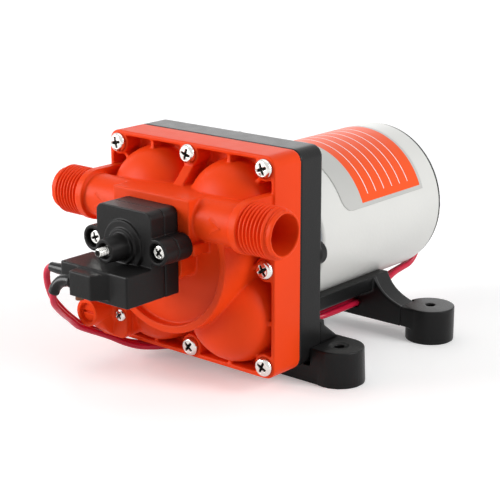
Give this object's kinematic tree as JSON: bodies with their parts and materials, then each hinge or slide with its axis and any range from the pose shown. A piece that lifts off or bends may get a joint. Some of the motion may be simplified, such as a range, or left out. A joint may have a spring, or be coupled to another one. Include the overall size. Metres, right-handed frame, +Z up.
{
  "type": "caravan water pump",
  "caption": "12 V diaphragm water pump with an orange valve head, threaded side ports, pressure switch, bypass valve, wobble drive and round motor on rubber feet.",
  "frame": {"origin": "centre of the four foot holes on the surface that the feet stand on", "axes": "+Y along the motor axis from the pump head to the motor's rear, +X towards the outlet port, +Z up"},
  "size_m": [0.1286, 0.2085, 0.1007],
  "materials": {
    "orange_plastic": "moulded orange plastic with a soft gloss",
    "black_plastic": "black moulded plastic, satin",
    "switch_plastic": "charcoal moulded plastic, matt",
    "black_rubber": "moulded diaphragm rubber",
    "foot_rubber": "soft moulded rubber",
    "white_paint": "light grey-white paint, satin",
    "grey_paint": "grey painted steel, satin",
    "label_film": "thin printed film in orange and silver",
    "valve_plastic": "natural moulded plastic",
    "screw_steel": "bright nickel-plated steel",
    "bearing_steel": "ground bearing steel",
    "cam_metal": "turned alloy",
    "core_steel": "stacked steel sheet",
    "magnet_ferrite": "dark sintered ferrite",
    "copper": "bare copper",
    "bronze": "turned brass and bronze",
    "carbon": "pressed carbon",
    "spring_steel": "drawn spring wire",
    "lead_jacket": "crimson vinyl jacket, glossy",
    "sleeve_vinyl": "black vinyl sleeve, glossy",
    "adjuster_plastic": "orange moulded screw with a slot"
  },
  "bodies": {
    "pump": {"pump_head": "orange_plastic", "valve_plate": "valve_plastic", "head_seal": "black_rubber", "inlet_valves": "black_rubber", "outlet_valve": "black_rubber", "diaphragm": "black_rubber", "drive_housing": "black_plastic", "housing_screws": "screw_steel", "mount_screws": "screw_steel", "motor_front_plate": "grey_paint", "motor_can": "white_paint", "motor_label": "label_film", "motor_end_cap": "black_plastic", "motor_bolts": "screw_steel", "front_bearing_outer": "bearing_steel", "rear_bush": "bronze", "magnets": "magnet_ferrite", "brush_plate": "valve_plastic", "brushes": "carbon", "brush_springs": "spring_steel", "lead_grommet": "black_plastic", "red_leads": "lead_jacket", "lead_sleeves": "sleeve_vinyl", "motor_base": "black_plastic", "base_screws": "screw_steel", "front_feet": "foot_rubber", "rear_feet": "foot_rubber", "switch_base": "black_plastic", "switch_cover": "switch_plastic", "switch_diaphragm": "black_rubber", "switch_spring": "spring_steel", "switch_screws": "screw_steel", "microswitch_body": "switch_plastic", "microswitch_screw": "screw_steel", "switch_terminals": "bronze", "bypass_cap": "orange_plastic", "bypass_screws": "screw_steel", "bypass_spring": "spring_steel"},
    "rotor": {"motor_shaft": "bearing_steel", "armature": "core_steel", "windings": "copper", "commutator": "copper", "front_bearing_inner": "bearing_steel", "front_bearing_balls": "bearing_steel", "wobble_cam": "cam_metal", "cam_circlip": "screw_steel", "cam_grub_screw": "screw_steel", "wobble_bearing_inner": "bearing_steel", "wobble_bearing_balls": "bearing_steel"},
    "wobble": {"wobble_plate": "valve_plastic", "wobble_bearing_outer": "bearing_steel", "pistons": "valve_plastic", "piston_screws": "screw_steel", "diaphragm_cups": "black_rubber"},
    "plunger": {"switch_plunger": "valve_plastic"},
    "micro_button": {"microswitch_button": "valve_plastic"},
    "pressure_screw": {"switch_adjuster": "bronze"},
    "bypass_screw": {"bypass_adjuster": "adjuster_plastic"},
    "poppet": {"bypass_poppet": "valve_plastic"}
  },
  "joints": [
    {"name": "rotor_spin", "type": "hinge", "parent": "pump", "child": "rotor", "pos_m": [0, -0.0464, 0.053], "axis": [0, 1, 0], "continuous": true},
    {"name": "wobble_turn", "type": "hinge", "parent": "rotor", "child": "wobble", "pos_m": [0, -0.0464, 0.053], "axis": [0, 0.999, 0.0436], "continuous": true},
    {"name": "plunger_slide", "type": "slide", "parent": "pump", "child": "plunger", "axis": [0, -1, 0], "range_m": [0, 0.001], "stiffness_N_per_m": 2000, "springref_m": -0.001},
    {"name": "button_slide", "type": "slide", "parent": "pump", "child": "micro_button", "axis": [0, -1, 0], "range_m": [0, 0.001]},
    {"name": "pressure_screw_turn", "type": "hinge", "parent": "pump", "child": "pressure_screw", "pos_m": [0, -0.1146, 0.0652], "axis": [0, -1, 0], "range_deg": [-360, 360]},
    {"name": "bypass_screw_turn", "type": "hinge", "parent": "pump", "child": "bypass_screw", "pos_m": [-0.0338, -0.0919, 0.0272], "axis": [0, -1, 0], "range_deg": [-360, 360]},
    {"name": "poppet_slide", "type": "slide", "parent": "pump", "child": "poppet", "axis": [0, -1, 0], "range_m": [0, 0.0012], "stiffness_N_per_m": 1500, "springref_m": -0.001}
  ],
  "couplings": [
    {"joint": "wobble_turn", "follows": "rotor_spin", "ratio": -1},
    {"joint": "button_slide", "follows": "plunger_slide", "ratio": 1}
  ]
}
